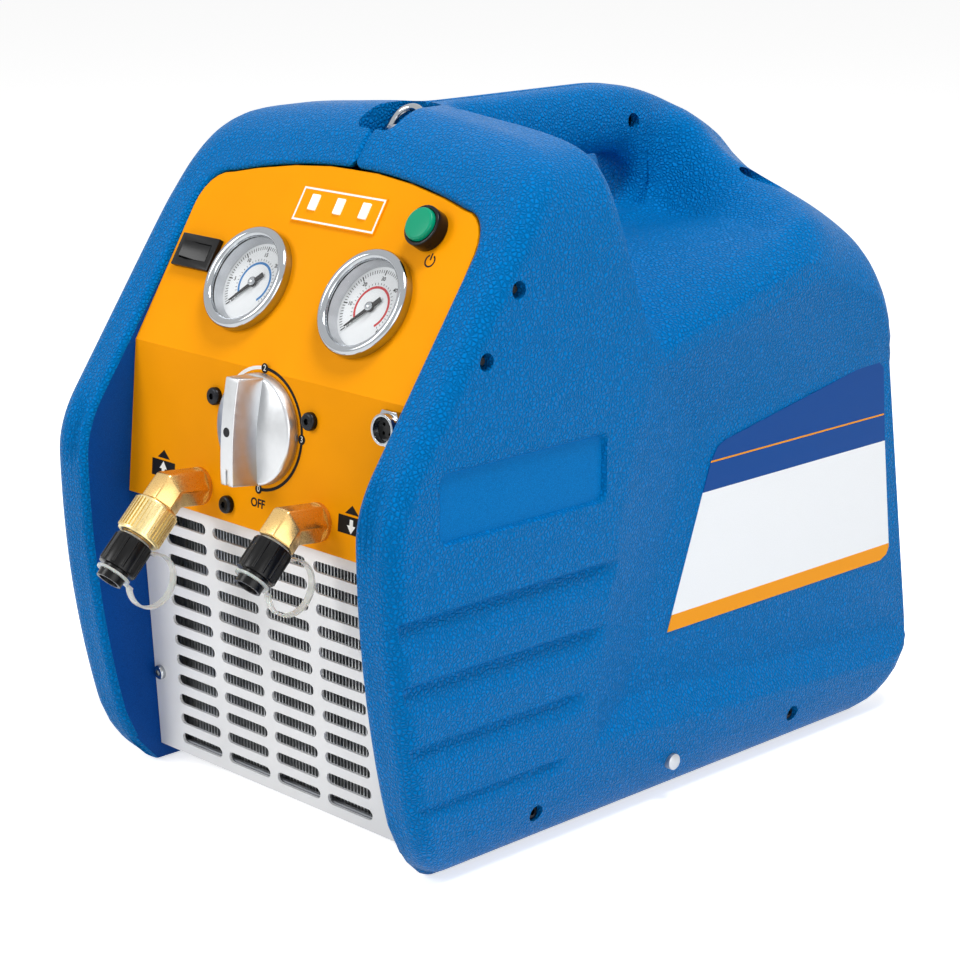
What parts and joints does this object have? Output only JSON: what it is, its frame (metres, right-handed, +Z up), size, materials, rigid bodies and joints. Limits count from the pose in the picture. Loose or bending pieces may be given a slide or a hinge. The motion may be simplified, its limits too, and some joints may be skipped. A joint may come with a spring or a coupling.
{
  "type": "refrigerant recovery machine",
  "caption": "Portable refrigerant recovery machine: moulded blue half shells with a handle, orange control panel with gauges, selector knob and flare fittings, slotted grille over a finned condenser.",
  "frame": {"origin": "on the floor under the middle of the case, on the parting plane of the two shells", "axes": "+X to the right seen from the front, -Y towards the front with the control panel, +Z up"},
  "size_m": [0.264, 0.4472, 0.36],
  "materials": {
    "shell_blue": "pebble grain, satin",
    "orange_paint": "satin powder coat",
    "silver_paint": "satin silver",
    "zinc_sheet": "zinc plated",
    "black_rubber": "matt",
    "black_plastic": "satin",
    "bright_chrome": "polished",
    "white_print": "printed",
    "black_paint": "matt",
    "clear_lens": "clear",
    "cast_aluminium": "as cast",
    "satin_aluminium": "satin anodised",
    "fin_aluminium": "mill",
    "green_lens": "gloss",
    "white_lamp": "gloss",
    "turned_brass": "turned",
    "clear_strap": "translucent",
    "copper_tube": "drawn",
    "dark_enamel": "enamel",
    "black_steel": "black oxide"
  },
  "bodies": {
    "case": {"left_shell": "shell_blue", "right_shell": "shell_blue", "base_pan": "zinc_sheet", "rubber_feet": "black_rubber", "control_panel": "orange_paint", "front_grille": "silver_paint", "rear_panel": "silver_paint", "gauge_case_low": "black_plastic", "gauge_bezel_low": "bright_chrome", "gauge_dial_low": "white_print", "gauge_lens_low": "clear_lens", "gauge_case_high": "black_plastic", "gauge_bezel_high": "bright_chrome", "gauge_dial_high": "white_print", "gauge_lens_high": "clear_lens", "valve_block": "cast_aluminium", "power_bezel": "black_plastic", "breaker_body": "black_plastic", "indicator_frame": "orange_paint", "indicator_lamps": "white_lamp", "sensor_socket": "bright_chrome", "sensor_insert": "black_plastic", "inlet_elbow": "turned_brass", "inlet_tether": "clear_strap", "outlet_elbow": "turned_brass", "outlet_tether": "clear_strap", "ring_bracket": "zinc_sheet", "condenser_fins": "fin_aluminium", "condenser_ends": "zinc_sheet", "condenser_tubes": "copper_tube", "fan_shroud": "black_plastic", "fan_motor": "dark_enamel", "compressor_cradle": "zinc_sheet", "cradle_grommets": "black_rubber", "compressor_motor": "dark_enamel", "crankcase": "cast_aluminium", "cylinder_barrels": "cast_aluminium", "cylinder_heads": "cast_aluminium", "suction_pipe": "copper_tube", "discharge_pipe": "copper_tube", "liquid_pipe": "copper_tube", "start_capacitor": "cast_aluminium", "power_inlet": "black_plastic", "inlet_pins": "turned_brass", "panel_screws": "black_steel", "grille_screws": "bright_chrome", "rim_screws": "black_steel", "handle_screws": "black_steel", "base_screws": "bright_chrome"},
    "selector": {"selector_knob": "satin_aluminium"},
    "button": {"power_button": "green_lens"},
    "rocker": {"breaker_rocker": "black_plastic"},
    "low_needle": {"gauge_needle_low": "black_paint"},
    "high_needle": {"gauge_needle_high": "black_paint"},
    "collar": {"inlet_collar": "turned_brass"},
    "left_cap": {"inlet_cap": "black_plastic"},
    "right_cap": {"outlet_cap": "black_plastic"},
    "ring": {"carry_ring": "bright_chrome"},
    "fan": {"fan_rotor": "black_plastic"}
  },
  "joints": [
    {"name": "selector_turn", "type": "hinge", "parent": "case", "child": "selector", "pos_m": [0, -0.17678, 0.20813], "axis": [0, -0.9954, 0.0958], "range_deg": [-270, 0]},
    {"name": "button_press", "type": "slide", "parent": "case", "child": "button", "axis": [0, 0.848, -0.5299], "range_m": [0, 0.003], "stiffness_N_per_m": 600},
    {"name": "breaker_flip", "type": "hinge", "parent": "case", "child": "rocker", "pos_m": [-0.085, -0.1456, 0.28057], "axis": [0, 0.5299, 0.848], "range_deg": [-24, 0]},
    {"name": "low_gauge_swing", "type": "hinge", "parent": "case", "child": "low_needle", "pos_m": [-0.037, -0.15095, 0.27389], "axis": [0, -0.848, 0.5299], "range_deg": [-270, 0], "stiffness_Nm_per_rad": 0.002},
    {"name": "high_gauge_swing", "type": "hinge", "parent": "case", "child": "high_needle", "pos_m": [0.0515, -0.15095, 0.27389], "axis": [0, -0.848, 0.5299], "range_deg": [-270, 0], "stiffness_Nm_per_rad": 0.002},
    {"name": "collar_turn", "type": "hinge", "parent": "case", "child": "collar", "pos_m": [-0.046, -0.20033, 0.17223], "axis": [0, -0.7071, -0.7071], "continuous": true},
    {"name": "left_cap_turn", "type": "hinge", "parent": "case", "child": "left_cap", "pos_m": [-0.046, -0.20033, 0.17223], "axis": [0, -0.7071, -0.7071], "continuous": true},
    {"name": "right_cap_turn", "type": "hinge", "parent": "case", "child": "right_cap", "pos_m": [0.046, -0.20033, 0.17223], "axis": [0, -0.7071, -0.7071], "continuous": true},
    {"name": "ring_fold", "type": "hinge", "parent": "case", "child": "ring", "pos_m": [0, -0.082, 0.346], "axis": [1, 0, 0], "range_deg": [-48, 128]},
    {"name": "fan_spin", "type": "hinge", "parent": "case", "child": "fan", "pos_m": [0, -0.1123, 0.084], "axis": [0, 1, 0], "continuous": true}
  ]
}
